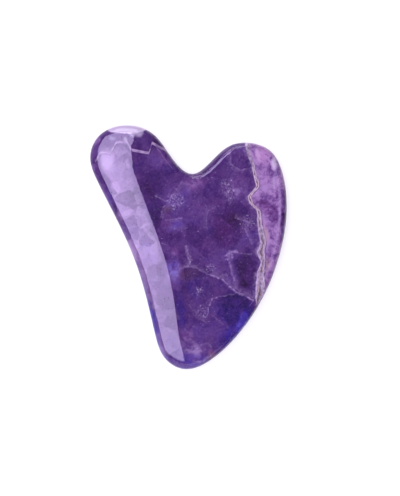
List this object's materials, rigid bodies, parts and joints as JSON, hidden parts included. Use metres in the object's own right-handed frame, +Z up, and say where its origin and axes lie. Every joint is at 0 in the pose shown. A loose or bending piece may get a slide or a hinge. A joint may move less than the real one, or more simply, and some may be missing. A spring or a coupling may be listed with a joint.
{
  "type": "gua sha scraper",
  "caption": "Heart-shaped facial massage stone with a thinned long stroking edge, a notch between two unequal lobes and a narrow tip.",
  "frame": {"origin": "middle of the bounding box at the resting face", "axes": "+Z up out of the flat face, +X from the long lobe to the short one, +Y from the tip to the notch"},
  "size_m": [0.061, 0.0756, 0.007],
  "materials": {
    "dark_amethyst_body": "deep violet quartz, polished",
    "cream_quartz_seam": "cream to peach milky quartz, finely banded, polished",
    "lavender_flank": "pale violet quartz with pink clouding, polished",
    "chevron_band": "milky white quartz, polished",
    "long_lobe_cap": "violet quartz, polished"
  },
  "bodies": {
    "root": {"dark_amethyst_body": "dark_amethyst_body", "cream_quartz_seam": "cream_quartz_seam", "lavender_flank": "lavender_flank", "chevron_band": "chevron_band", "long_lobe_cap": "long_lobe_cap"}
  },
  "joints": []
}
